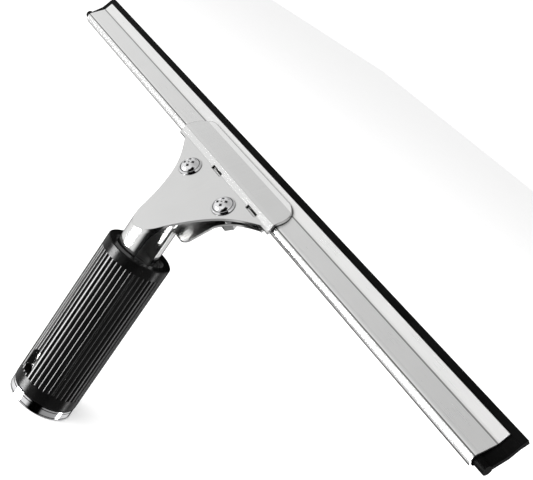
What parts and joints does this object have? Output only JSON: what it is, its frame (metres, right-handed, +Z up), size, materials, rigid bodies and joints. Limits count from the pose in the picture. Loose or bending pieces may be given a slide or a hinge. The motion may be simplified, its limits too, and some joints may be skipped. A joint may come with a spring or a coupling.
{
  "type": "window squeegee",
  "caption": "Stainless window squeegee: folded channel with a black rubber blade, clamped in a two-plate head by screws, on a ribbed grip with a pole socket.",
  "frame": {"origin": "centre of the pole socket's mouth, at the bottom end of the grip", "axes": "+Z up the grip towards the blade, +X along the blade, -Y towards the face with the screws and the pole window"},
  "size_m": [0.36, 0.045, 0.1471],
  "materials": {
    "channel_steel": "satin",
    "plate_steel": "polished",
    "bright_steel": "polished",
    "plain_steel": "plain",
    "tube_steel": "bright",
    "blade_rubber": "satin",
    "grip_rubber": "glossy",
    "collar_plastic": "glossy",
    "plug_plastic": "matte"
  },
  "bodies": {
    "handle": {"handle_tube": "tube_steel", "upper_plate": "plate_steel", "neck_plug": "plug_plastic", "neck_pin": "plain_steel", "grip_sleeve": "grip_rubber", "grip_collar_top": "collar_plastic", "grip_collar_bottom": "collar_plastic", "end_ring": "bright_steel", "cup_washers": "bright_steel"},
    "lower_jaw": {"lower_plate": "plate_steel", "clamp_nuts": "plain_steel"},
    "screw_left": {"clamp_screw_left": "bright_steel"},
    "screw_right": {"clamp_screw_right": "bright_steel"},
    "blade_channel": {"channel": "channel_steel"},
    "blade_rubber": {"squeegee_rubber": "blade_rubber"}
  },
  "joints": [
    {"name": "jaw_release", "type": "slide", "parent": "handle", "child": "lower_jaw", "axis": [0, 0.809, -0.5878], "range_m": [0, 0.0021]},
    {"name": "screw_left_turn", "type": "hinge", "parent": "handle", "child": "screw_left", "pos_m": [-0.0167, 0.01016, 0.12461], "axis": [0, -0.809, 0.5878], "range_deg": [0, 1080.5]},
    {"name": "screw_right_turn", "type": "hinge", "parent": "handle", "child": "screw_right", "pos_m": [0.0167, 0.01016, 0.12461], "axis": [0, -0.809, 0.5878], "range_deg": [0, 1080.5]},
    {"name": "channel_slide", "type": "slide", "parent": "handle", "child": "blade_channel", "axis": [1, 0, 0], "range_m": [-0.12, 0.12]},
    {"name": "rubber_slide", "type": "slide", "parent": "blade_channel", "child": "blade_rubber", "axis": [1, 0, 0], "range_m": [-0.3, 0.3]}
  ],
  "couplings": [
    {"joint": "screw_left_turn", "follows": "jaw_release", "rad_per_m": 8976},
    {"joint": "screw_right_turn", "follows": "jaw_release", "rad_per_m": 8976}
  ]
}
